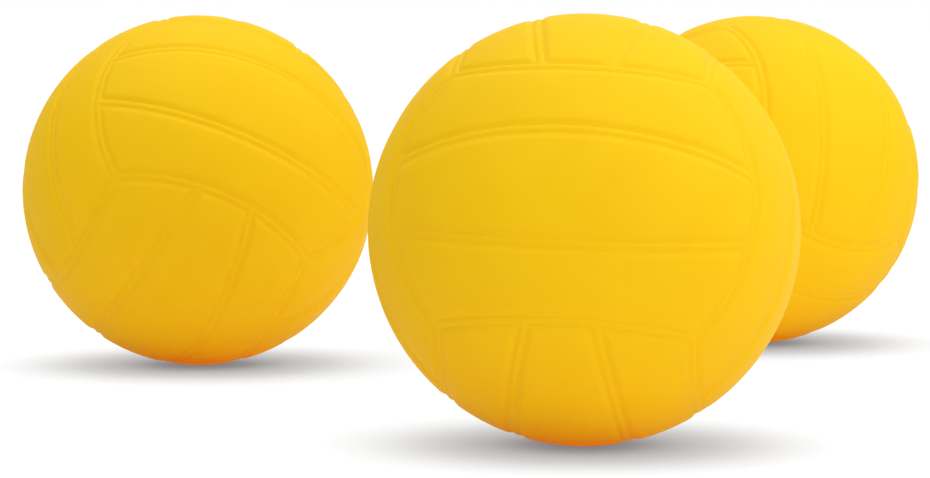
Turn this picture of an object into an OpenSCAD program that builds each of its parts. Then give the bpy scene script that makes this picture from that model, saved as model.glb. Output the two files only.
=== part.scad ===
// Set of three loose volleyballs, size 5, resting on one floor.
// Each ball is built in layers round an air-filled bladder: bladder, wound
// thread, rubber carcass with a raised bead under every seam, foam, and
// eighteen cover panels in six faces of three strips.
// Z is up, the floor is z = 0, and the origin is under the middle of the set.

/* [Ball] */
// Outer diameter over the cover panels
ball_d = 210; // [200:1:216]
// Half angle of a face's middle strip, seen from the ball's centre
strip_half_angle = 15; // [12:0.5:18]

/* [Layers] */
// Thickness of a cover panel
cover_t = 1.2; // [0.9:0.1:2]
// Thickness of the foam under each panel
foam_t = 1.6; // [1:0.1:3]
// Thickness of the rubber carcass between its beads
carcass_t = 1; // [0.8:0.1:2]
// Thickness of the wound thread layer
winding_t = 0.8; // [0.5:0.1:1.5]
// Thickness of the bladder's wall
bladder_t = 1.3; // [0.8:0.1:2.5]
// Glue line left between two layers
glue_gap = 0.15; // [0.12:0.01:0.25]

/* [Seams] */
// Width of the raised bead along a seam
bead_w = 3.9; // [3:0.1:5]
// How far the top of a bead lies below the panels
bead_drop = 0.25; // [0.15:0.05:0.6]
// How much slimmer in radius a bead is between two strips than between two faces
bead_step = 0.1; // [0.08:0.01:0.2]
// Clearance from the side of a bead to the panel beside it: the seam's groove
groove_clearance = 0.8; // [0.3:0.05:0.95]
// Clearance left between the ends of two beads at a corner, before the post joins them
corner_clearance = 0.25; // [0.1:0.05:0.4]

/* [Valve] */
// Diameter of the needle's duct
needle_d = 2; // [1.6:0.1:2.4]
// Length of the needle's duct
needle_duct_l = 12; // [8:0.5:14]
// Diameter of the valve insert's body
insert_d = 6; // [5:0.1:7]
// Length of the valve insert
insert_l = 15; // [14.5:0.5:18]
// Diameter of the insert's head
insert_head_d = 7.4; // [7.2:0.1:8]
// Thickness of the insert's head
insert_head_t = 1.2; // [0.8:0.1:2]
// Wall of the valve housing round the insert
housing_wall = 1.5; // [1.2:0.1:2.5]
// Diameter of the housing's flange inside the bladder
flange_d = 30; // [24:1:40]
// Thickness of that flange
flange_t = 1.8; // [1:0.1:3]
// Rubber below the closed end of the housing's seat
housing_floor_t = 2.5; // [1.5:0.1:4]
// How far the valve's mouth lies below the cover
mouth_drop = 0.5; // [0.3:0.1:1]
// Clearance round the insert and round the housing's neck
valve_clearance = 0.1; // [0.05:0.01:0.2]

/* [Layout] */
// Distance across the set between the left and right balls' centres
set_across = 346; // [240:1:500]
// Distance back from the front ball's centre to the right ball's centre
set_depth = 535; // [240:1:700]
// Front ball's centre, to the right of the set's middle
front_ball_x = 45; // [-60:1:60]
// Left ball's centre, behind the set's middle
left_ball_y = 126; // [0:1:160]
// Angles of the front ball about X, Y and Z, in that order
front_ball_angles = [-15, 2, -7.9]; // [-180:0.1:180]
// Angles of the left ball about X, Y and Z, in that order
left_ball_angles = [-36, 24.1, 12.9]; // [-180:0.1:180]
// Angles of the right ball about X, Y and Z, in that order
right_ball_angles = [-19.8, -32.5, -48.7]; // [-180:0.1:180]

/* [Hidden] */
$fn = 120;
FRONT = 0;
LEFT = 1;
RIGHT = 2;
cover_yellow = [0.96, 0.74, 0.09];
foam_cream = [0.93, 0.89, 0.76];
carcass_yellow = [0.94, 0.7, 0.08];
thread_white = [0.9, 0.9, 0.86];
bladder_black = [0.12, 0.12, 0.13];
valve_black = [0.16, 0.16, 0.17];

// Radii of the layers, from the outside in
cover_r = ball_d / 2;
foam_r = cover_r - cover_t - glue_gap;
carcass_r = foam_r - foam_t - glue_gap;
winding_r = carcass_r - carcass_t - glue_gap;
bladder_r = winding_r - winding_t - glue_gap;
bladder_inner_r = bladder_r - bladder_t;

// The six faces meet in threes where a cube's corners would be
edge_angle = acos(1 / sqrt(3));
// Half the arc of an inner seam, from the middle of its face to its end
inner_arc = acos(cos(edge_angle) / cos(strip_half_angle));
// Half the arc of a long edge, from corner to corner round its small circle
edge_arc = 45;

bead_r = bead_w / 2;
bead_line_r = cover_r - bead_drop - bead_r;
bead_root_r = carcass_r - carcass_t / 2;
// The web under a bead is narrower than the bead by this share
web_share = 0.7;
// Three beads meet at a corner: each stops just before it would touch the next,
// and a post that is a little wider and lower than the beads joins them
bead_stop = bead_r / tan(60) + corner_clearance;
bead_stop_angle = bead_stop / (bead_line_r * sin(edge_angle)) * 180 / PI;
post_r = bead_r + bead_step / 2;
post_top_r = bead_line_r + bead_r - bead_step;
seam_half_w = bead_r + groove_clearance;
// How far a cutting shape stands out beyond what it cuts
cut_over = 1;

insert_top_r = cover_r - mouth_drop - insert_head_t / 2;
insert_bottom_r = insert_top_r - insert_l;
neck_r = insert_head_d / 2 + valve_clearance + housing_wall / 2;
neck_hole_r = neck_r + valve_clearance;
boss_r = insert_d / 2 + valve_clearance + housing_wall;
flange_r = flange_d / 2;
flange_outer_r = bladder_inner_r - glue_gap;
// The neck starts half the flange's thickness below the flange, inside the boss
neck_root_r = flange_outer_r - 1.5 * flange_t;
housing_bottom_r = insert_bottom_r - valve_clearance - housing_floor_t;

// Centres of the three balls, in the order front, left, right
centres = [
    [front_ball_x, -set_depth / 2, cover_r],
    [-set_across / 2, left_ball_y, cover_r],
    [set_across / 2, set_depth / 2, cover_r]
];
ball_angles = [front_ball_angles, left_ball_angles, right_ball_angles];

// A face is modelled facing up with its strips along X; these turn it into place
FACE_FRONT = [90, 0, 0];
FACE_BACK = [-90, 0, 0];
FACE_RIGHT = [0, 90, 0];
FACE_LEFT = [0, -90, 0];
FACE_TOP = [0, 0, 90];
FACE_BOTTOM = [180, 0, 90];
FACES = [FACE_FRONT, FACE_BACK, FACE_RIGHT, FACE_LEFT, FACE_TOP, FACE_BOTTOM];

// A point in a half plane through the ball's axis, beside the radial line of a
// seam that is at an angle from that axis: so far out along it, so far across
function seam_point(angle, across, out) =
    [out * sin(angle) + across * cos(angle), out * cos(angle) - across * sin(angle)];

// Puts a ball's own frame in its place in the set
module in_ball(which) {
    translate(centres[which]) rotate(ball_angles[which]) children();
}

// A hollow sphere
module shell(outer_r, thickness) {
    difference() {
        sphere(r = outer_r);
        sphere(r = outer_r - thickness);
    }
}

// What lies inside the circle at an angle from +Z, less (-1) or plus (1) half
// the width of the seam's slot
module inside_seam(angle, side) {
    wall_foot = seam_point(angle, side * seam_half_w, bladder_r);
    wall_top = seam_point(angle, side * seam_half_w, ball_d);
    rotate_extrude() polygon([[0, wall_foot[1]], wall_foot, wall_top, [0, ball_d]]);
}

// The slot of a seam between two strips, round the great circle about Z
module strip_slot() {
    floor_r = carcass_r + glue_gap / 2;
    rotate_extrude()
        translate([floor_r, -seam_half_w])
            square([cover_r + cut_over - floor_r, 2 * seam_half_w]);
}

// The section of a bead of a given radius, and of the web that roots it in the
// carcass
module bead_section(angle, r) {
    half_web = web_share * r;
    difference() {
        union() {
            translate(seam_point(angle, 0, bead_line_r)) circle(r = r);
            polygon([
                seam_point(angle, -half_web, bladder_r),
                seam_point(angle, half_web, bladder_r),
                seam_point(angle, half_web, bead_line_r),
                seam_point(angle, -half_web, bead_line_r)
            ]);
        }
        circle(r = bead_root_r + bead_r - r);
    }
}

// A bead round part of the circle at an angle from +Y, its middle nearest +Z
module bead(angle, half_arc, r) {
    rotate([-90, 0, 0])
        rotate([0, 0, -90 - half_arc])
            rotate_extrude(angle = 2 * half_arc) bead_section(angle, r);
}

// The posts at the eight corners where three faces meet
module corner_posts() {
    for (tip = [edge_angle, 180 - edge_angle], turn = [45 : 90 : 315])
        rotate([0, tip, turn])
            translate([0, 0, bead_root_r])
                cylinder(h = post_top_r - bead_root_r, r = post_r);
}

// The three strips of one face, facing up, cut from a layer
module face_strips(outer_r, thickness) {
    difference() {
        intersection() {
            shell(outer_r, thickness);
            inside_seam(edge_angle, -1);
        }
        for (side = [-90, 90]) rotate([side, 0, 0]) inside_seam(edge_angle, 1);
        for (tilt = [-strip_half_angle, strip_half_angle])
            rotate([90 + tilt, 0, 0]) strip_slot();
    }
}

// The round hole that the valve's neck passes through
module neck_hole() {
    rotate(FACE_BACK) cylinder(h = cover_r + cut_over, r = neck_hole_r);
}

module panels(which, face) {
    color(cover_yellow)
        in_ball(which)
            difference() {
                rotate(face) face_strips(cover_r, cover_t);
                if (face == FACE_BACK) neck_hole();
            }
}

module foam(which) {
    color(foam_cream)
        in_ball(which)
            difference() {
                for (face = FACES) rotate(face) face_strips(foam_r, foam_t);
                neck_hole();
            }
}

module carcass(which) {
    color(carcass_yellow)
        in_ball(which)
            difference() {
                union() {
                    shell(carcass_r, carcass_t);
                    corner_posts();
                    for (face = FACES)
                        rotate(face) {
                            for (turn = [0, 180])
                                rotate([0, 0, turn])
                                    bead(edge_angle, edge_arc - bead_stop_angle, bead_r);
                            for (tilt = [-strip_half_angle, strip_half_angle])
                                rotate([tilt, 0, 0]) bead(90, inner_arc, bead_r - bead_step);
                        }
                }
                neck_hole();
            }
}

module winding(which) {
    color(thread_white)
        in_ball(which)
            difference() {
                shell(winding_r, winding_t);
                neck_hole();
            }
}

module bladder(which) {
    color(bladder_black)
        in_ball(which)
            difference() {
                shell(bladder_r, bladder_t);
                neck_hole();
            }
}

// Rubber body that is bonded inside the bladder and comes out through its neck
module valve_housing(which) {
    color(valve_black)
        in_ball(which)
            rotate(FACE_BACK)
                difference() {
                    union() {
                        intersection() {
                            shell(flange_outer_r, flange_t);
                            cylinder(h = cover_r, r = flange_r);
                        }
                        translate([0, 0, housing_bottom_r])
                            cylinder(h = flange_outer_r - flange_t - housing_bottom_r, r = boss_r);
                        translate([0, 0, neck_root_r])
                            cylinder(h = cover_r - mouth_drop - neck_root_r, r = neck_r);
                    }
                    translate([0, 0, insert_bottom_r - valve_clearance])
                        cylinder(h = cover_r, r = insert_d / 2 + valve_clearance);
                    translate([0, 0, insert_top_r - insert_head_t - valve_clearance])
                        cylinder(h = cover_r, r = insert_head_d / 2 + valve_clearance);
                }
}

// Self-sealing plug with the blind duct that the needle is pushed into
module valve_insert(which) {
    color(valve_black)
        in_ball(which)
            rotate(FACE_BACK)
                difference() {
                    union() {
                        translate([0, 0, insert_bottom_r]) cylinder(h = insert_l, r = insert_d / 2);
                        translate([0, 0, insert_top_r - insert_head_t])
                            cylinder(h = insert_head_t, r = insert_head_d / 2);
                    }
                    translate([0, 0, insert_top_r - needle_duct_l])
                        cylinder(h = needle_duct_l + cut_over, r = needle_d / 2);
                }
}

panels(FRONT, FACE_FRONT);  // front_ball_panels_front
panels(FRONT, FACE_BACK);  // front_ball_panels_back
panels(FRONT, FACE_RIGHT);  // front_ball_panels_right
panels(FRONT, FACE_LEFT);  // front_ball_panels_left
panels(FRONT, FACE_TOP);  // front_ball_panels_top
panels(FRONT, FACE_BOTTOM);  // front_ball_panels_bottom
foam(FRONT);  // front_ball_foam
carcass(FRONT);  // front_ball_carcass
winding(FRONT);  // front_ball_winding
bladder(FRONT);  // front_ball_bladder
valve_housing(FRONT);  // front_ball_valve_housing
valve_insert(FRONT);  // front_ball_valve_insert
panels(LEFT, FACE_FRONT);  // left_ball_panels_front
panels(LEFT, FACE_BACK);  // left_ball_panels_back
panels(LEFT, FACE_RIGHT);  // left_ball_panels_right
panels(LEFT, FACE_LEFT);  // left_ball_panels_left
panels(LEFT, FACE_TOP);  // left_ball_panels_top
panels(LEFT, FACE_BOTTOM);  // left_ball_panels_bottom
foam(LEFT);  // left_ball_foam
carcass(LEFT);  // left_ball_carcass
winding(LEFT);  // left_ball_winding
bladder(LEFT);  // left_ball_bladder
valve_housing(LEFT);  // left_ball_valve_housing
valve_insert(LEFT);  // left_ball_valve_insert
panels(RIGHT, FACE_FRONT);  // right_ball_panels_front
panels(RIGHT, FACE_BACK);  // right_ball_panels_back
panels(RIGHT, FACE_RIGHT);  // right_ball_panels_right
panels(RIGHT, FACE_LEFT);  // right_ball_panels_left
panels(RIGHT, FACE_TOP);  // right_ball_panels_top
panels(RIGHT, FACE_BOTTOM);  // right_ball_panels_bottom
foam(RIGHT);  // right_ball_foam
carcass(RIGHT);  // right_ball_carcass
winding(RIGHT);  // right_ball_winding
bladder(RIGHT);  // right_ball_bladder
valve_housing(RIGHT);  // right_ball_valve_housing
valve_insert(RIGHT);  // right_ball_valve_insert
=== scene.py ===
"""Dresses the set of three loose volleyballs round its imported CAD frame.

Every ball gets eighteen rounded cover strips in six faces, the carcass with its
raised seam beads between them, and finishes for the layers and the valve inside.
Lengths are in metres, in the frame's axes: +Z up, +Y away from the camera.
"""

import logging
import math
from dataclasses import dataclass, field
from enum import Enum
from typing import Callable, Dict, Iterable, List, Sequence, Tuple, Union

import bpy
import numpy as np
from mathutils import Euler, Matrix, Vector

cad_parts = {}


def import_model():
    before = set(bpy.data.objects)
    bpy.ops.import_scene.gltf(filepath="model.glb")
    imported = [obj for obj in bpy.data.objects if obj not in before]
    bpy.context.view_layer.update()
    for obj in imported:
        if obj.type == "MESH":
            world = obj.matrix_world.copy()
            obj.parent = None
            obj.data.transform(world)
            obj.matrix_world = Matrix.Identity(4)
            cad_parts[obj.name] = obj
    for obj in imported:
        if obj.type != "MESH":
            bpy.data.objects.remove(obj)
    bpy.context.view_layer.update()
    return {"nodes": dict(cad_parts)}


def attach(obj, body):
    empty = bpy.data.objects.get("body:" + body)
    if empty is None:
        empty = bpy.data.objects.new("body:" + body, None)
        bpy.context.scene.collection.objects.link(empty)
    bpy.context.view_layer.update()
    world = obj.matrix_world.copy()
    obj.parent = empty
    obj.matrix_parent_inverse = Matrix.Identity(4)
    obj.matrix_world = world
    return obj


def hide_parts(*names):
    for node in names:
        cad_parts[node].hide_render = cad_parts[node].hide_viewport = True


LOG = logging.getLogger("volleyballs")
MM = 0.001
IMAGE_WIDTH = 930
SHARP_EDGE = math.radians(35)
FACE_TURNS: Dict[str, Tuple[float, float, float]] = {
    "front": (90, 0, 0),
    "back": (-90, 0, 0),
    "right": (0, 90, 0),
    "left": (0, -90, 0),
    "top": (0, 0, 90),
    "bottom": (180, 0, 90),
}


# ---------------------------------------------------------------- modelling


class Shading(Enum):
    """How a finished mesh is shaded."""

    SMOOTH = "smooth"
    BY_ANGLE = "by angle"


def turn_matrix(degrees: Sequence[float]) -> Matrix:
    """Returns the turn about X, then Y, then Z, by angles in degrees."""
    return Euler([math.radians(a) for a in degrees], "XYZ").to_matrix().to_4x4()


def select_only(piece: bpy.types.Object) -> None:
    """Deselects everything, then selects one object and makes it active.

    Args:
        piece: the object that the next operator works on.
    """
    bpy.ops.object.select_all(action="DESELECT")
    piece.select_set(True)
    bpy.context.view_layer.objects.active = piece


def points_of(piece: bpy.types.Object) -> np.ndarray:
    """Reads a mesh's points.

    Args:
        piece: the mesh.

    Returns:
        The points, one in each row of an array.
    """
    points = np.empty(len(piece.data.vertices) * 3)
    piece.data.vertices.foreach_get("co", points)
    return points.reshape(-1, 3)


def place_points(piece: bpy.types.Object, points: np.ndarray) -> None:
    """Moves a mesh's points to the rows of an array."""
    piece.data.vertices.foreach_set("co", np.ascontiguousarray(points).ravel())
    piece.data.update()


def apply_modifier(piece: bpy.types.Object, kind: str, **settings: object) -> None:
    """Adds a modifier with these settings and applies it.

    Args:
        piece: the mesh that is finished.
        kind: Blender's name for the modifier's type.
        settings: the modifier's own values.
    """
    select_only(piece)
    modifier = piece.modifiers.new(kind.title(), kind)
    for name, value in settings.items():
        setattr(modifier, name, value)
    bpy.ops.object.modifier_apply(modifier=modifier.name)


def shade(piece: bpy.types.Object, shading: Shading) -> None:
    """Shades a mesh.

    Args:
        piece: the mesh.
        shading: smooth all over, or smooth up to the mesh's sharper edges.
    """
    select_only(piece)
    if shading is Shading.SMOOTH:
        bpy.ops.object.shade_smooth()
    else:
        bpy.ops.object.shade_smooth_by_angle(angle=SHARP_EDGE)


def copied(piece: bpy.types.Object, name: str, place: Matrix) -> bpy.types.Object:
    """Copies a piece with a mesh of its own, and bakes its place into the mesh.

    Args:
        piece: the piece that is modelled once.
        name: the copy's name.
        place: where the copy goes.

    Returns:
        The copy, its object at the origin.
    """
    twin = piece.copy()
    twin.data = piece.data.copy()
    twin.name = twin.data.name = name
    bpy.context.scene.collection.objects.link(twin)
    twin.data.transform(place)
    return twin


def joined(pieces: List[bpy.types.Object], name: str) -> bpy.types.Object:
    """Joins pieces into one object.

    Args:
        pieces: the pieces, of which the first takes the others in.
        name: the joined object's name.

    Returns:
        The joined object.
    """
    bpy.ops.object.select_all(action="DESELECT")
    for piece in pieces:
        piece.select_set(True)
    bpy.context.view_layer.objects.active = pieces[0]
    bpy.ops.object.join()
    whole = bpy.context.view_layer.objects.active
    whole.name = whole.data.name = name
    return whole


def laid_sheet(
    name: str, cells: Tuple[int, int], lay: Callable[[int, int], np.ndarray]
) -> bpy.types.Object:
    """Adds a flat grid and lays its points where a function says.

    Args:
        name: the new object's name.
        cells: how many cells the grid has along and across.
        lay: gives the place of the point in a column and a row.

    Returns:
        The sheet that has been laid.
    """
    bpy.ops.object.select_all(action="DESELECT")
    bpy.ops.mesh.primitive_grid_add(
        x_subdivisions=cells[0], y_subdivisions=cells[1], size=1
    )
    sheet = bpy.context.object
    sheet.name = sheet.data.name = name
    flat = points_of(sheet)
    columns = np.rint((flat[:, 0] + 0.5) * cells[0]).astype(int)
    rows = np.rint((flat[:, 1] + 0.5) * cells[1]).astype(int)
    place_points(sheet, np.array([lay(i, j) for i, j in zip(columns, rows)]))
    return sheet


def give_wall(piece: bpy.types.Object, under_radius: np.ndarray) -> None:
    """Closes a sheet that lies on a ball with side walls and an underside.

    Args:
        piece: the sheet, facing away from the ball's centre.
        under_radius: how far from the centre the underside lies below each point.
    """
    top_count = len(piece.data.vertices)
    # Any thickness serves here, because the underside is moved to its place below.
    apply_modifier(piece, "SOLIDIFY", thickness=MM, offset=-1)
    points = points_of(piece)
    under = points[:top_count]
    length = np.linalg.norm(under, axis=1)
    points[top_count:] = under * (under_radius / length)[:, None]
    place_points(piece, points)


# ---------------------------------------------------------------- the seams


def unit(vector: Sequence[float]) -> np.ndarray:
    """Returns a vector at length one."""
    array = np.asarray(vector, float)
    return array / np.linalg.norm(array)


@dataclass(frozen=True)
class Line:
    """A circle on the unit ball: the points at one height along an axis."""

    axis: Tuple[float, float, float]
    height_angle: float

    def height(self, offset: float) -> float:
        """Returns the height of the line that runs beside this one."""
        return math.sin(self.height_angle + offset)

    def azimuth(self, point: np.ndarray, middle: Sequence[float]) -> float:
        """Returns a point's angle round the axis, from a middle direction."""
        ahead, aside = self._basis(middle)
        return math.atan2(float(point @ aside), float(point @ ahead))

    def at(self, offset: float, azimuth: float, middle: Sequence[float]) -> np.ndarray:
        """Finds a point on this line or on a parallel of it.

        Args:
            offset: the angle of the parallel.
            azimuth: the point's angle round the axis.
            middle: the direction from which that angle is counted.

        Returns:
            The point on the unit ball.
        """
        ahead, aside = self._basis(middle)
        height = self.height(offset)
        across = math.sqrt(1 - height * height)
        return height * np.array(self.axis) + across * (
            math.cos(azimuth) * ahead + math.sin(azimuth) * aside
        )

    def _basis(self, middle: Sequence[float]) -> Tuple[np.ndarray, np.ndarray]:
        """Finds two directions square to the axis and to each other.

        Args:
            middle: the direction that the first one lies nearest to.

        Returns:
            The direction ahead and the direction aside.
        """
        axis = np.array(self.axis, float)
        ahead = unit(np.array(middle, float) - (np.array(middle, float) @ axis) * axis)
        return ahead, np.cross(axis, ahead)


def crossing(
    one: Line, one_offset: float, two: Line, two_offset: float, side: float
) -> np.ndarray:
    """Finds where two offset lines cross.

    Args:
        one: the first line.
        one_offset: the angle of its parallel.
        two: the second line.
        two_offset: the angle of its parallel.
        side: the sign of X at the crossing that is wanted.

    Returns:
        The crossing point on the unit ball.
    """
    a, b = np.array(one.axis, float), np.array(two.axis, float)
    ha, hb = one.height(one_offset), two.height(two_offset)
    dot = float(a @ b)
    base = ((ha - dot * hb) * a + (hb - dot * ha) * b) / (1 - dot * dot)
    normal = np.cross(a, b)
    rise = math.sqrt(max(0.0, 1 - float(base @ base))) / np.linalg.norm(normal)
    found = base + rise * normal
    return found if found[0] * side > 0 else base - rise * normal


@dataclass(frozen=True)
class Pattern:
    """Eighteen strips in six faces, and the seams between them."""

    strip_half_angle: float = math.radians(15)
    corner_height: float = 1 / math.sqrt(3)
    long_arc: float = math.pi / 4

    @property
    def edge_height_angle(self) -> float:
        """The angle above the middle plane at which a long edge lies."""
        return math.asin(self.corner_height)

    @property
    def inner_arc(self) -> float:
        """Half the arc of a seam between two strips of a face."""
        return math.acos(self.corner_height / math.cos(self.strip_half_angle))

    @property
    def joint_arc(self) -> float:
        """The arc from a long edge's middle to where an inner seam joins it."""
        aside = self.corner_height * math.tan(self.strip_half_angle)
        return math.asin(aside / math.cos(self.edge_height_angle))

    def end_line(self) -> Line:
        """Returns the short end of a face, seen from inside the face."""
        return Line((0, 0, 1), self.edge_height_angle)

    def inner_line(self, side: int, facing: int) -> Line:
        """Returns an inner seam, with its axis towards or away from +Y."""
        c, s = math.cos(self.strip_half_angle), math.sin(self.strip_half_angle)
        return Line((0, facing * c, -facing * side * s), 0.0)

    def edge_line(self) -> Line:
        """Returns the long edge at +Y, seen from inside the face."""
        return Line((0, -1, 0), -self.edge_height_angle)

    def seams(self) -> List[Tuple[np.ndarray, float, np.ndarray, float]]:
        """Lists all the seams, as they lie when the front face is turned up.

        Returns:
            The axis, height angle, middle direction and half arc of each.
        """
        first = turn_matrix(FACE_TURNS["front"]).to_3x3().inverted()
        rise = self.edge_height_angle
        found = []
        for degrees in FACE_TURNS.values():
            turn = np.array(first @ turn_matrix(degrees).to_3x3())
            for side in (-1, 1):
                middle = turn @ np.array([0, side * math.sin(rise), math.cos(rise)])
                found.append((turn @ np.array([0, side, 0.0]), rise, middle, self.long_arc))
                line = self.inner_line(side, 1)
                middle = turn @ np.array(
                    [0, side * math.sin(self.strip_half_angle),
                     math.cos(self.strip_half_angle)]
                )
                found.append((turn @ np.array(line.axis), 0.0, middle, self.inner_arc))
        return found


def soft_min(a: np.ndarray, b: np.ndarray, blend: float) -> np.ndarray:
    """Returns the smaller of two distances, rounded where they are alike."""
    overlap = np.clip(blend - np.abs(a - b), 0, None) / blend
    return np.minimum(a, b) - overlap * overlap * blend / 4


def eased(share: np.ndarray) -> np.ndarray:
    """Returns a smooth step, level at 0 and at 1, for shares clipped to that range."""
    return (1 - np.cos(np.pi * np.clip(share, 0, 1))) / 2


@dataclass(frozen=True)
class SeamShape:
    """The section across a seam: a raised bead between two soft grooves.

    A panel's surface rolls down to the groove, where its thinned edge lies on the
    flange at the foot of the bead.
    """

    groove_middle: float = 2.35 * MM
    groove_drop: float = 0.92 * MM
    roll_start: float = 7.0 * MM
    roll_power: float = 3.5
    bead_drop: float = 0.45 * MM
    flange_gap: float = 0.03 * MM
    flange_end: float = 2.7 * MM
    flange_wall: float = 0.2 * MM
    edge_full: float = 3.7 * MM
    bead_floor: float = 2.2 * MM
    panel_corner: float = 2.0 * MM
    bead_corner: float = 1.6 * MM

    def panel_drop(self, distance: np.ndarray) -> np.ndarray:
        """Works out how far a panel's surface lies below the ball's.

        Args:
            distance: how far each point lies from its seam's line.

        Returns:
            The drop at each point.
        """
        roll = self.roll_start - self.groove_middle
        share = np.clip((self.roll_start - distance) / roll, 0, 1)
        steep = self.roll_power + 1 - self.roll_power * share
        return self.groove_drop * share**self.roll_power * steep

    def panel_under_drop(self, distance: np.ndarray, thickness: float) -> np.ndarray:
        """Works out how far a panel's underside lies below the ball's surface.

        Args:
            distance: how far each point lies from its seam's line.
            thickness: the panel's thickness away from its thinned edge.

        Returns:
            The drop at each point.
        """
        edge = self.groove_drop + self.flange_gap / 2
        share = (distance - self.flange_end) / (self.edge_full - self.flange_end)
        return edge + (thickness - edge) * eased(share)

    def bead_surface_drop(self, distance: np.ndarray) -> np.ndarray:
        """Works out how far a bead and its flange lie below the ball's surface.

        Args:
            distance: how far each point lies from the bead's line.

        Returns:
            The drop at each point.
        """
        foot = self.groove_drop + self.flange_gap
        crown = self.bead_drop + (foot - self.bead_drop) * eased(
            distance / self.groove_middle
        )
        wall = (distance - self.flange_end) / self.flange_wall
        return crown + (self.bead_floor - foot) * np.clip(wall, 0, 1)


# ---------------------------------------------------------------- the ball


@dataclass
class BallSkin:
    """The cover and the beaded carcass of one ball, modelled once at the origin."""

    radius: float = 105 * MM
    cover_t: float = 1.2 * MM
    carcass_radius: float = 101.9 * MM
    carcass_t: float = 1.0 * MM
    carcass_subdivisions: int = 5
    neck_hole_radius: float = 4.65 * MM
    neck_hole_sides: int = 64
    neck_cut_depth: float = 8 * MM
    neck_cut_drop: float = 2 * MM
    weld_gap: float = 0.001 * MM
    pattern: Pattern = field(default_factory=Pattern)
    shape: SeamShape = field(default_factory=SeamShape)
    rim: Tuple[float, ...] = (2.3, 2.55, 2.85, 3.2, 3.6, 4.05, 4.6, 5.3, 6.1, 7.1)
    strip_cells: Tuple[int, int] = (54, 13)
    bead_cells: int = 120
    bead_steps: int = 20
    bead_fine: float = 0.3 * MM
    bead_coarse: float = 3.0 * MM
    bead_growth: float = 0.12
    bead_overlap: float = 0.2 * MM
    bead_sink: float = 0.25
    bead_columns: Tuple[float, ...] = (
        -2.9, -2.7, -2.2, -1.8, -1.4, -1, -0.5, 0, 0.5, 1, 1.4, 1.8, 2.2, 2.7, 2.9
    )

    def strip(self, name: str, low: Line, high: Line) -> bpy.types.Object:
        """Models one cover strip, facing up, between two long sides.

        Args:
            name: the strip's name.
            low: the side towards -Y, its axis into the strip.
            high: the side towards +Y, its axis into the strip.

        Returns:
            The closed strip, round the origin.
        """
        rim = [w * MM / self.radius for w in self.rim]
        inner, last = rim[-1], len(rim) - 1
        end = self.pattern.end_line()
        along, across = self.strip_cells
        columns, rows = along + 2 * last, across + 2 * last

        def rim_place(index: int, count: int) -> Tuple[int, float, float]:
            """Sorts a column or row of the grid into a rim or the inside.

            Args:
                index: the column or row.
                count: the last one's number.

            Returns:
                The side (-1, 0 or 1), the offset from it and the share of the inside.
            """
            if index < last:
                return -1, rim[index], 0.0
            if index > count - last:
                return 1, rim[count - index], 1.0
            return 0, inner, (index - last) / (count - 2 * last)

        def beside(line: Line, offset: float, share: float) -> np.ndarray:
            """Finds a point on a parallel of a long side.

            Args:
                line: the long side.
                offset: the parallel's angle from it.
                share: how far along the parallel the point lies, from 0 to 1.

            Returns:
                The point on the unit ball.
            """
            ends = [crossing(line, offset, end, inner, s) for s in (-1, 1)]
            low_az, high_az = (line.azimuth(p, (0, 0, 1)) for p in ends)
            return line.at(offset, low_az + share * (high_az - low_az), (0, 0, 1))

        def at_end(sign: int, offset: float, share: float) -> np.ndarray:
            """Finds a point on a parallel of a short end.

            Args:
                sign: -1 for the end at -X, 1 for the end at +X.
                offset: the parallel's angle from it.
                share: how far along the parallel the point lies, from 0 to 1.

            Returns:
                The point on the unit ball.
            """
            sides = [crossing(line, inner, end, offset, sign) for line in (low, high)]
            low_az, high_az = (end.azimuth(p, (sign, 0, 0)) for p in sides)
            return end.at(offset, low_az + share * (high_az - low_az), (sign, 0, 0))

        corners = {
            (s, t): crossing(line, inner, end, inner, 2 * s - 1)
            for s in (0, 1)
            for t, line in ((0, low), (1, high))
        }

        def lay(i: int, j: int) -> np.ndarray:
            """Lays one point of the grid on the unit ball.

            Args:
                i: the point's column.
                j: the point's row.

            Returns:
                The point's direction from the ball's centre.
            """
            end_side, end_offset, s = rim_place(i, columns)
            long_side, long_offset, t = rim_place(j, rows)
            if long_side and end_side:
                line = low if long_side < 0 else high
                return crossing(line, long_offset, end, end_offset, end_side)
            if long_side:
                return beside(low if long_side < 0 else high, long_offset, s)
            if end_side:
                return at_end(end_side, end_offset, t)
            sides = (1 - t) * beside(low, inner, s) + t * beside(high, inner, s)
            ends = (1 - s) * at_end(-1, inner, t) + s * at_end(1, inner, t)
            mean = sum(
                (s if a else 1 - s) * (t if b else 1 - t) * corners[a, b]
                for a in (0, 1)
                for b in (0, 1)
            )
            return unit(sides + ends - mean)

        sheet = laid_sheet(name, (columns, rows), lay)
        aim = points_of(sheet)
        aim /= np.linalg.norm(aim, axis=1, keepdims=True)
        distance = self.off_line(aim, end)
        for line in (low, high):
            side = self.off_line(aim, line)
            distance = soft_min(distance, side, self.shape.panel_corner)
        drop = self.shape.panel_drop(distance)
        place_points(sheet, aim * (self.radius - drop)[:, None])
        under = self.shape.panel_under_drop(distance, self.cover_t)
        give_wall(sheet, self.radius - under)
        return sheet

    def off_line(self, aim: np.ndarray, line: Line) -> np.ndarray:
        """Returns how far inside a line each direction lies, along the ball."""
        height = np.clip(aim @ np.array(line.axis, float), -1, 1)
        return (np.arcsin(height) - line.height_angle) * self.radius

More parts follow.
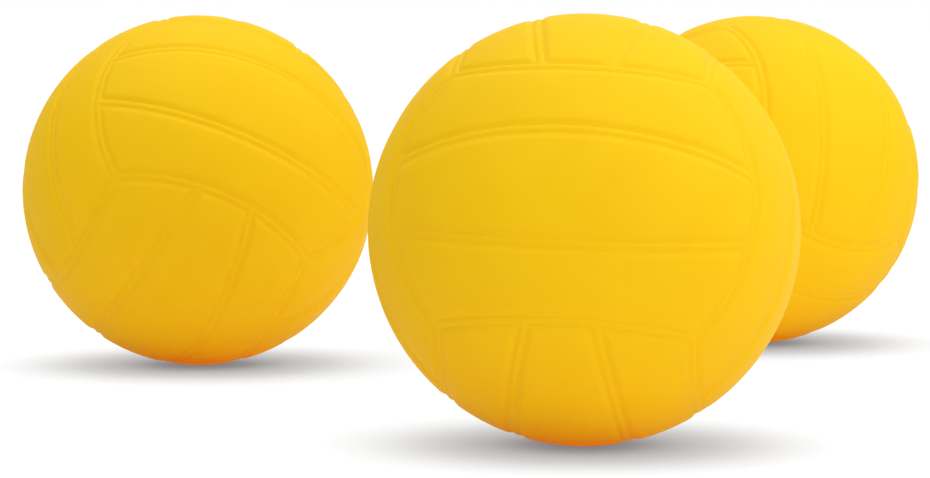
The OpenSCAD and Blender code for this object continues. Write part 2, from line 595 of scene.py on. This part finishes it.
    def seam_distance(self, aim: np.ndarray) -> Tuple[np.ndarray, np.ndarray]:
        """Measures how far directions lie from the seams, along the ball.

        Args:
            aim: the directions, one in each row.

        Returns:
            The distance rounded where seams meet, and the distance as it is.
        """
        rounded = nearest = np.full(len(aim), self.radius)
        for axis, rise, middle, half_arc in self.pattern.seams():
            ahead = unit(middle - (middle @ axis) * axis)
            aside = np.cross(axis, ahead)
            azimuth = np.arctan2(aim @ aside, aim @ ahead)
            held = np.clip(azimuth, -half_arc, half_arc)
            height, across = math.sin(rise), math.cos(rise)
            foot = height * axis + across * (
                np.cos(held)[:, None] * ahead + np.sin(held)[:, None] * aside
            )
            chord = np.linalg.norm(aim - foot, axis=1) * self.radius
            rounded = soft_min(rounded, chord, self.shape.bead_corner)
            nearest = np.minimum(nearest, chord)
        return np.clip(rounded, 0, None), nearest

    def bead_stations(self, half_arc: float, joint_arc: float) -> np.ndarray:
        """Spaces a bead's cells, closer together where it meets other beads.

        Args:
            half_arc: the angle from the bead's middle to its ends.
            joint_arc: the angle from its middle to where others join it.

        Returns:
            The angles of the grid's columns from the bead's middle.
        """
        reach = half_arc + self.bead_overlap / self.radius
        arcs = np.linspace(-reach, reach, self.bead_steps * self.bead_cells)
        joints = np.array([half_arc, joint_arc])
        gap = np.min(np.abs(np.abs(arcs)[:, None] - joints), axis=1) * self.radius
        cell = np.clip(self.bead_fine + self.bead_growth * gap, 0, self.bead_coarse)
        passed = np.cumsum(1 / cell)
        shares = np.linspace(passed[0], passed[-1], self.bead_cells + 1)
        return np.interp(shares, passed, arcs)

    def bead(self, name: str, long_edge: bool) -> bpy.types.Object:
        """Models the bead of one long edge or of one inner seam at +Y.

        Args:
            name: the bead's name.
            long_edge: whether the bead runs round the face.

        Returns:
            The closed bead, rooted on the carcass.
        """
        line = (
            Line((0, 1, 0), self.pattern.edge_height_angle)
            if long_edge
            else self.pattern.inner_line(1, 1)
        )
        half_arc = self.pattern.long_arc if long_edge else self.pattern.inner_arc
        joint = self.pattern.joint_arc if long_edge else half_arc
        stations = self.bead_stations(half_arc, joint)
        columns = self.bead_columns

        def lay(i: int, j: int) -> np.ndarray:
            """Returns the direction of a grid point from the ball's centre."""
            return line.at(columns[j] * MM / self.radius, stations[i], (0, 0, 1))

        sheet = laid_sheet(name, (self.bead_cells, len(columns) - 1), lay)
        aim = points_of(sheet)
        aim /= np.linalg.norm(aim, axis=1, keepdims=True)
        rounded, nearest = self.seam_distance(aim)
        strayed = np.clip(np.abs(self.off_line(aim, line)) - nearest, 0, None)
        drop = self.shape.bead_surface_drop(rounded) + self.bead_sink * strayed
        place_points(sheet, aim * (self.radius - drop)[:, None])
        give_wall(sheet, np.full(len(aim), self.carcass_radius - self.carcass_t / 2))
        return sheet

    def cut_neck_hole(self, piece: bpy.types.Object) -> None:
        """Cuts the round hole for the valve's neck out of an upright piece.

        The cut can leave two points in one place, so such points are welded.

        Args:
            piece: the mesh that is cut, with the valve's axis along +Z.
        """
        bpy.ops.object.select_all(action="DESELECT")
        bpy.ops.mesh.primitive_cylinder_add(
            vertices=self.neck_hole_sides, radius=self.neck_hole_radius,
            depth=self.neck_cut_depth, location=(0, 0, self.radius - self.neck_cut_drop),
        )
        cutter = bpy.context.object
        apply_modifier(piece, "BOOLEAN", object=cutter, operation="DIFFERENCE")
        bpy.data.objects.remove(cutter)
        apply_modifier(piece, "WELD", merge_threshold=self.weld_gap)

    def face(self, name: str, with_hole: bool) -> bpy.types.Object:
        """Models the three strips of one face, facing up.

        Args:
            name: the face's name.
            with_hole: whether the valve's neck comes out of the middle strip.

        Returns:
            The face, with its strips as separate closed shells.
        """
        seam = self.pattern.inner_line
        middle = self.strip("middle", seam(-1, 1), seam(1, -1))
        side = self.strip("side", seam(1, 1), self.pattern.edge_line())
        far_side = copied(side, "far_side", turn_matrix((0, 0, 180)))
        if with_hole:
            self.cut_neck_hole(middle)
        for strip in (middle, side, far_side):
            shade(strip, Shading.BY_ANGLE if with_hole else Shading.SMOOTH)
        return joined([middle, side, far_side], name)

    def carcass(self, name: str) -> bpy.types.Object:
        """Models the carcass with all of its beads, in the ball's own axes.

        Args:
            name: the carcass's name.

        Returns:
            The hollow ball and its beads as one object of closed shells.
        """
        bpy.ops.object.select_all(action="DESELECT")
        bpy.ops.mesh.primitive_ico_sphere_add(
            subdivisions=self.carcass_subdivisions, radius=self.carcass_radius
        )
        ball = bpy.context.object
        apply_modifier(ball, "SOLIDIFY", thickness=self.carcass_t, offset=-1)
        self.cut_neck_hole(ball)
        ball.data.transform(turn_matrix(FACE_TURNS["back"]))
        beads = [self.bead("long_bead", True), self.bead("inner_bead", False)]
        parts = [ball]
        for face_name, degrees in FACE_TURNS.items():
            for half_turn in (0, 180):
                place = turn_matrix(degrees) @ turn_matrix((0, 0, half_turn))
                for bead in beads:
                    parts.append(copied(bead, f"{bead.name}_{face_name}", place))
        for bead in beads:
            bpy.data.objects.remove(bead)
        for part in parts:
            shade(part, Shading.BY_ANGLE)
        return joined(parts, name)


# ---------------------------------------------------------------- materials


Colour = Tuple[float, float, float]


def rgba(colour: Colour) -> Tuple[float, float, float, float]:
    """Returns a colour with full alpha."""
    return (*colour, 1.0)


class Wire:
    """A socket of a shader graph, which adds Math nodes when it is calculated with."""

    def __init__(self, graph: "Graph", socket: bpy.types.NodeSocket) -> None:
        """Wraps one output socket."""
        self.graph = graph
        self.socket = socket

    def _math(self, operation: str, *values: object) -> "Wire":
        """Adds a Math node and returns its result."""
        return self.graph.node(
            "ShaderNodeMath", dict(enumerate(values)), operation=operation
        )

    def __add__(self, other: object) -> "Wire":
        """Adds a number or wire."""
        return self._math("ADD", self, other)

    __radd__ = __add__

    def __sub__(self, other: object) -> "Wire":
        """Subtracts a number or wire."""
        return self._math("SUBTRACT", self, other)

    def __rsub__(self, other: object) -> "Wire":
        """Subtracts this wire from a number."""
        return self._math("SUBTRACT", other, self)

    def __mul__(self, other: object) -> "Wire":
        """Multiplies by a number or wire."""
        return self._math("MULTIPLY", self, other)

    __rmul__ = __mul__


class Graph:
    """The node graph of a material or of the world."""

    def __init__(self, owner: Union[bpy.types.Material, bpy.types.World]) -> None:
        """Empties the owner's graph.

        Args:
            owner: the material or world whose nodes are made.
        """
        self.owner = owner
        owner.use_nodes = True
        self.tree = owner.node_tree
        self.tree.nodes.clear()

    @classmethod
    def of_material(cls, name: str) -> "Graph":
        """Makes a new material with an empty graph."""
        return cls(bpy.data.materials.new(name))

    def node(
        self, kind: str, inputs: Dict[object, object], output: object = 0,
        stops: Sequence[Tuple[float, Colour]] = (), **settings: object
    ) -> Wire:
        """Adds a node.

        Args:
            kind: the node's type.
            inputs: values or wires by the name or number of their socket.
            output: the name or number of the socket that is wanted.
            stops: a colour ramp's positions and colours.
            settings: the node's own settings, made before its sockets are set.

        Returns:
            The output, wrapped.
        """
        made = self.tree.nodes.new(kind)
        for name, value in settings.items():
            setattr(made, name, value)
        if stops:
            ramp = made.color_ramp.elements
            while len(ramp) < len(stops):
                ramp.new(0.5)
            for element, (position, colour) in zip(ramp, stops):
                element.position, element.color = position, rgba(colour)
        for key, value in inputs.items():
            if isinstance(value, Wire):
                self.tree.links.new(value.socket, made.inputs[key])
            else:
                made.inputs[key].default_value = value
        outputs = made.outputs
        return Wire(self, outputs[output] if len(outputs) else None)

    def place(self) -> Wire:
        """Returns the point's place on its own object."""
        return self.node("ShaderNodeTexCoord", {}, "Object")

    def noise(self, place: Wire, size: float, detail: float = 2) -> Wire:
        """Returns a noise whose blotches are about so wide, from 0 to 1."""
        values = {"Vector": place, "Scale": 1 / size, "Detail": detail}
        return self.node("ShaderNodeTexNoise", values)

    def ramp(self, mask: Wire, *stops: Tuple[float, Colour]) -> Wire:
        """Returns the colours of a ramp along a mask."""
        return self.node("ShaderNodeValToRGB", {"Fac": mask}, "Color", stops=stops)

    def blend(
        self, mask: Wire, low: Union[Colour, Wire], high: Union[Colour, Wire]
    ) -> Wire:
        """Blends two colours.

        Args:
            mask: 0 where the first colour shows and 1 where the second does.
            low: the first colour.
            high: the second colour.

        Returns:
            The blended colour.
        """
        low, high = (c if isinstance(c, Wire) else rgba(c) for c in (low, high))
        sockets = {0: mask, 6: low, 7: high}
        return self.node("ShaderNodeMix", sockets, 2, data_type="RGBA")

    def bump(self, height: Wire, depth: float) -> Wire:
        """Returns the normal of a surface with this relief."""
        values = {"Height": height, "Strength": 1.0, "Distance": depth}
        return self.node("ShaderNodeBump", values, "Normal")

    def background_ray(self) -> Wire:
        """Tells the rays that show the background from those that only light the set.

        Returns:
            1 for a ray that is seen, mirrored or seen through glass, and 0 otherwise.
        """
        seen = self.node("ShaderNodeLightPath", {}, "Is Camera Ray")
        mirrored = self.node("ShaderNodeLightPath", {}, "Is Glossy Ray")
        through = self.node("ShaderNodeLightPath", {}, "Is Transmission Ray")
        return seen + mirrored + through

    def surface(self, inputs: Dict[object, object]) -> bpy.types.Material:
        """Ends a material's graph in a Principled shader.

        Args:
            inputs: values or wires by the name of the shader's socket.

        Returns:
            The finished material.
        """
        shader = self.node("ShaderNodeBsdfPrincipled", inputs, "BSDF")
        self.node("ShaderNodeOutputMaterial", {"Surface": shader})
        return self.owner


@dataclass(frozen=True)
class CoverFinish:
    """Soft matte synthetic leather with a fine grain."""

    light: Colour = (0.97, 0.622, 0.006)
    deep: Colour = (0.96, 0.602, 0.004)
    tones_at: Tuple[float, float] = (0.3, 0.7)
    cloud_size: float = 30 * MM
    pore_size: float = 0.35 * MM
    pore_height: float = 0.5
    grain_size: float = 0.7 * MM
    grain_height: float = 0.6
    grain_depth: float = 0.05 * MM
    roughness: float = 0.62
    cloud_roughness: float = 0.06
    pore_roughness: float = 0.04
    specular: float = 0.1

    def make(self) -> bpy.types.Material:
        """Builds the material.

        Returns:
            The cover's material.
        """
        graph = Graph.of_material("cover_yellow")
        place = graph.place()
        cloud = graph.noise(place, self.cloud_size, detail=3)
        pores = graph.noise(place, self.pore_size)
        cells = graph.node(
            "ShaderNodeTexVoronoi", {"Vector": place, "Scale": 1 / self.grain_size},
            "Distance", feature="SMOOTH_F1",
        )
        grain = cells * self.grain_height + pores * self.pore_height
        rough = cloud * self.cloud_roughness + pores * self.pore_roughness
        smoothest = self.roughness - (self.cloud_roughness + self.pore_roughness) / 2
        tones = zip(self.tones_at, (self.deep, self.light))
        return graph.surface({
            "Base Color": graph.ramp(cloud, *tones),
            "Roughness": rough + smoothest,
            "Specular IOR Level": self.specular,
            "Normal": graph.bump(grain, self.grain_depth),
        })


@dataclass(frozen=True)
class RubberFinish:
    """Moulded rubber with a fine mould texture."""

    name: str
    colour: Colour
    dusty: Colour
    roughness: float = 0.6
    specular: float = 0.3
    tones_at: Tuple[float, float] = (0.35, 0.75)
    cloud_size: float = 14 * MM
    grain_size: float = 0.5 * MM
    grain_depth: float = 0.01 * MM
    grain_roughness: float = 0.1

    def make(self) -> bpy.types.Material:
        """Builds the material.

        Returns:
            The rubber's material, in its own colour.
        """
        graph = Graph.of_material(self.name)
        place = graph.place()
        cloud = graph.noise(place, self.cloud_size, detail=4)
        grain = graph.noise(place, self.grain_size, detail=3)
        smoothest = self.roughness - self.grain_roughness / 2
        tones = zip(self.tones_at, (self.colour, self.dusty))
        return graph.surface({
            "Base Color": graph.ramp(cloud, *tones),
            "Roughness": grain * self.grain_roughness + smoothest,
            "Specular IOR Level": self.specular,
            "Normal": graph.bump(grain, self.grain_depth),
        })


@dataclass(frozen=True)
class FoamFinish:
    """Closed-cell foam, cut from a sheet."""

    light: Colour = (0.87, 0.8, 0.6)
    deep: Colour = (0.74, 0.64, 0.42)
    tones_at: Tuple[float, float] = (0.0, 0.5)
    cell_size: float = 0.7 * MM
    cell_depth: float = 0.1 * MM
    roughness: float = 0.85

    def make(self) -> bpy.types.Material:
        """Builds the material.

        Returns:
            The foam's material.
        """
        graph = Graph.of_material("foam_cream")
        cells = graph.node(
            "ShaderNodeTexVoronoi",
            {"Vector": graph.place(), "Scale": 1 / self.cell_size}, "Distance",
        )
        tones = zip(self.tones_at, (self.deep, self.light))
        return graph.surface({
            "Base Color": graph.ramp(cells, *tones),
            "Roughness": self.roughness,
            "Normal": graph.bump(cells, self.cell_depth),
        })


@dataclass(frozen=True)
class ThreadFinish:
    """Thread wound in many directions and set in glue."""

    light: Colour = (0.85, 0.84, 0.76)
    deep: Colour = (0.5, 0.48, 0.4)
    tones_at: Tuple[float, float] = (0.25, 0.7)
    roughness: float = 0.5
    band_at_scale_one: float = 0.31
    thread_gap: float = 1.1 * MM
    thread_depth: float = 0.25 * MM
    waver: float = 1.5
    turns: Tuple[Tuple[float, float, float], ...] = (
        (0.4, 0.2, 0.0), (1.3, -0.5, 0.8), (-0.7, 1.1, 2.0)
    )

    def lay(self, graph: Graph, turn: Tuple[float, float, float]) -> Wire:
        """Lays the threads of one direction.

        Args:
            graph: the graph that is added to.
            turn: how the threads are turned, in radians about X, Y and Z.

        Returns:
            The threads' relief, from 0 to 1.
        """
        turned = graph.node(
            "ShaderNodeMapping", {"Vector": graph.place(), "Rotation": turn}
        )
        scale = self.band_at_scale_one / self.thread_gap
        wave = {"Vector": turned, "Scale": scale, "Distortion": self.waver}
        return graph.node("ShaderNodeTexWave", wave, "Fac")

    def make(self) -> bpy.types.Material:
        """Builds the material.

        Returns:
            The winding's material.
        """
        graph = Graph.of_material("winding_thread")
        first, second, third = (self.lay(graph, turn) for turn in self.turns)
        threads = (first + second + third) * (1 / len(self.turns))
        tones = zip(self.tones_at, (self.deep, self.light))
        return graph.surface({
            "Base Color": graph.ramp(threads, *tones),
            "Roughness": self.roughness,
            "Normal": graph.bump(threads, self.thread_depth),
        })


# ---------------------------------------------------------------- the set


class Layer(Enum):
    """The CAD layers that keep their own solids, by the end of their node's name."""

    FOAM = "foam"
    WINDING = "winding"
    BLADDER = "bladder"
    VALVE_HOUSING = "valve_housing"
    VALVE_INSERT = "valve_insert"


@dataclass
class Ball:
    """One ball of the set, at its place and turned as it lies."""

    body: str
    centre: Tuple[float, float, float]
    angles: Tuple[float, float, float]

    @property
    def place(self) -> Matrix:
        """Where the ball's own axes lie in the set."""
        return Matrix.Translation(self.centre) @ turn_matrix(self.angles)

    def fit(
        self, piece: bpy.types.Object, node: str, finish: bpy.types.Material
    ) -> None:
        """Makes a piece stand for its node and ride on the ball.

        Args:
            piece: the finished mesh, in the set's axes.
            node: the CAD node that it stands for.
            finish: its material.
        """
        piece.data.materials.clear()
        piece.data.materials.append(finish)
        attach(piece, self.body)
        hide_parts(node)
        LOG.info("%s stands for %s", piece.name, node)

    def dress(
        self,
        faces: Dict[bool, bpy.types.Object],
        carcass: bpy.types.Object,
        finishes: Dict[str, bpy.types.Material],
        nodes: Dict[str, bpy.types.Object],
    ) -> None:
        """Puts the ball's cover and carcass on and finishes its inner layers.

        Args:
            faces: the modelled face, without and with the valve's hole.
            carcass: the modelled carcass.
            finishes: the materials by name.
            nodes: the CAD nodes by name.
        """
        for face, degrees in FACE_TURNS.items():
            cover = copied(
                faces[face == "back"], f"{self.body}_cover_{face}",
                self.place @ turn_matrix(degrees),
            )
            self.fit(cover, f"{self.body}_panels_{face}", finishes["cover"])
        beads = copied(carcass, f"{self.body}_seam_beads", self.place)
        self.fit(beads, f"{self.body}_carcass", finishes["bead"])
        for layer in Layer:
            mesh = nodes[f"{self.body}_{layer.value}"].data
            mesh.materials.clear()
            mesh.materials.append(finishes[layer.value])


BALLS = (
    Ball("front_ball", (0.045, -0.2675, 0.105), (-15, 2, -7.9)),
    Ball("left_ball", (-0.173, 0.126, 0.105), (-36, 24.1, 12.9)),
    Ball("right_ball", (0.173, 0.2675, 0.105), (-19.8, -32.5, -48.7)),
)


def make_finishes() -> Dict[str, bpy.types.Material]:
    """Makes every material once.

    Returns:
        The materials by the name of what they finish.
    """
    yellow, deep_yellow = (0.97, 0.617, 0.005), (0.955, 0.597, 0.004)
    black, dusty_black = (0.014, 0.014, 0.016), (0.03, 0.03, 0.032)
    return {
        "cover": CoverFinish().make(),
        "bead": RubberFinish("seam_yellow", yellow, deep_yellow, specular=0.1).make(),
        "foam": FoamFinish().make(),
        "winding": ThreadFinish().make(),
        "bladder": RubberFinish("bladder_black", black, dusty_black, 0.45).make(),
        "valve_housing": RubberFinish("valve_black", black, dusty_black).make(),
        "valve_insert": RubberFinish(
            "insert_black", dusty_black, (0.045, 0.045, 0.047), 0.5
        ).make(),
    }


# ---------------------------------------------------------------- the studio


def hang(lamp: bpy.types.Light, place: Vector, back: Vector) -> None:
    """Puts a lamp at its place, unseen by the camera.

    Args:
        lamp: the lamp.
        place: where it hangs.
        back: the direction of its back, from which its light comes.
    """
    holder = bpy.data.objects.new(lamp.name, lamp)
    holder.location = place
    holder.rotation_euler = back.to_track_quat("Z", "Y").to_euler()
    holder.visible_camera = False
    bpy.context.scene.collection.objects.link(holder)


@dataclass(frozen=True)
class DiscLamp:
    """A round soft lamp that is turned to the middle of the set."""

    name: str
    place: Tuple[float, float, float]
    watts: float
    size: float = 0.6
    aim: Tuple[float, float, float] = (0.0, 0.0, 0.1)

    def make(self) -> None:
        """Adds the lamp."""
        lamp = bpy.data.lights.new(self.name, "AREA")
        lamp.shape = "DISK"
        lamp.size = self.size
        lamp.energy = self.watts
        place = Vector(self.place)
        hang(lamp, place, place - Vector(self.aim))


@dataclass(frozen=True)
class Studio:
    """A white floor painted with grey shadows and a warm glow round the balls' feet, soft
    light from above and the right, and the camera.
    """

    focal_px: float = 3400.0
    camera: Tuple[float, float, float] = (-0.01275, -1.91685, 0.2051)
    pitch_down: float = 3.627
    sensor_width: float = 36.0
    clip_end: float = 200.0
    sky_colour: Colour = (0.185, 0.16, 0.15)
    overhead_level: float = 0.78
    overhead_softness: float = 100.0
    overhead_towards: Tuple[float, float, float] = (0.0, -0.1, 1.0)
    lamps: Tuple[DiscLamp, ...] = (
        DiscLamp("right", (0.8, -0.1, 0.6), 1.64),
        DiscLamp("front_right", (0.8, -1.4, 0.5), 2.72),
    )
    floor_size: float = 400.0
    floor_lit: Colour = (0.92, 0.9, 0.86)
    floor_seen: Colour = (0.05, 0.05, 0.05)
    # Painted shadow: grey emission tones that the camera sees on the floor, set by how open
    # the floor is within the reach.
    shadow_reach: float = 0.6
    shadow_tones: Tuple[Tuple[float, float], ...] = (
        (0.02, 0.2), (0.2, 0.45), (0.43, 0.62), (0.63, 0.87), (0.75, 1.0)
    )
    # Painted bounce light: a warm glow the floor gives off to light the balls' undersides,
    # strongest at their feet.
    painted_bounce_tones: Tuple[Tuple[float, Colour], ...] = (
        (0.0, (0.36, 0.13, 0.0)), (0.15, (0.31, 0.1, 0.0)),
        (0.4, (0.09, 0.017, 0.0)), (0.9, (0.06, 0.012, 0.0)),
    )

    def make_camera(self) -> None:
        """Puts the camera where the set is seen as it was laid out."""
        data = bpy.data.cameras.new("camera")
        data.sensor_width = self.sensor_width
        data.sensor_fit = "HORIZONTAL"
        data.lens = self.focal_px / IMAGE_WIDTH * self.sensor_width
        data.clip_end = self.clip_end
        camera = bpy.data.objects.new("camera", data)
        camera.location = self.camera
        camera.rotation_euler = (math.radians(90 - self.pitch_down), 0, 0)
        bpy.context.scene.collection.objects.link(camera)
        bpy.context.scene.camera = camera

    def make_overhead(self) -> None:
        """Adds the very wide light from above."""
        lamp = bpy.data.lights.new("overhead", "SUN")
        lamp.energy = self.overhead_level * math.pi
        lamp.angle = math.radians(self.overhead_softness)
        hang(lamp, Vector((0, 0, 1)), Vector(self.overhead_towards))

    def make_sky(self) -> None:
        """Lights the set from all round and shows plain white behind it."""
        bpy.context.scene.world = bpy.data.worlds.new("sky")
        graph = Graph(bpy.context.scene.world)
        colour = graph.blend(graph.background_ray(), self.sky_colour, (1, 1, 1))
        light = graph.node("ShaderNodeBackground", {"Color": colour, "Strength": 1.0})
        graph.node("ShaderNodeOutputWorld", {"Surface": light})

    def make_floor(self) -> None:
        """Lays the pale floor, which shows white to the camera except for painted shadows:
        grey emission by ambient occlusion round the balls. For the rays that light the set
        it glows warm, most near the balls' feet, a painted glow in place of bounced light.
        """
        bpy.ops.object.select_all(action="DESELECT")
        bpy.ops.mesh.primitive_plane_add(size=self.floor_size)
        floor = bpy.context.object
        floor.name = "floor"
        graph = Graph.of_material("floor_white")
        seen = graph.background_ray()
        openness = graph.node(
            "ShaderNodeAmbientOcclusion", {"Distance": self.shadow_reach}, "AO"
        )
        # The shadows the camera sees on the floor are painted, as grey emission ramped by
        # ambient occlusion.
        tones = ((at, (tone, tone, tone)) for at, tone in self.shadow_tones)
        shadow = graph.ramp(openness, *tones)
        # A painted warm glow, in place of light bounced between the floor and the balls.
        painted_bounce = graph.ramp(openness, *self.painted_bounce_tones)
        floor.data.materials.append(graph.surface({
            "Base Color": graph.blend(seen, self.floor_lit, self.floor_seen),
            "Roughness": 1.0,
            "Specular IOR Level": 0.0,
            "Emission Color": graph.blend(seen, painted_bounce, shadow),
            "Emission Strength": 1.0,
        }))

    def build(self) -> None:
        """Makes the camera, the light and the floor."""
        self.make_camera()
        self.make_overhead()
        for lamp in self.lamps:
            lamp.make()
        self.make_sky()
        self.make_floor()
        bpy.context.scene.view_settings.view_transform = "Standard"


def main() -> None:
    """Builds the set round its frame."""
    logging.basicConfig(level=logging.INFO, format="%(name)s: %(message)s")
    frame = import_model()
    Studio().build()
    skin = BallSkin()
    faces = {hole: skin.face(f"face_{hole}", hole) for hole in (False, True)}
    carcass = skin.carcass("carcass")
    finishes = make_finishes()
    for ball in BALLS:
        ball.dress(faces, carcass, finishes, frame["nodes"])
    for model in (*faces.values(), carcass):
        bpy.data.objects.remove(model)
    LOG.info("built %d balls", len(BALLS))


if __name__ == "__main__":
    main()
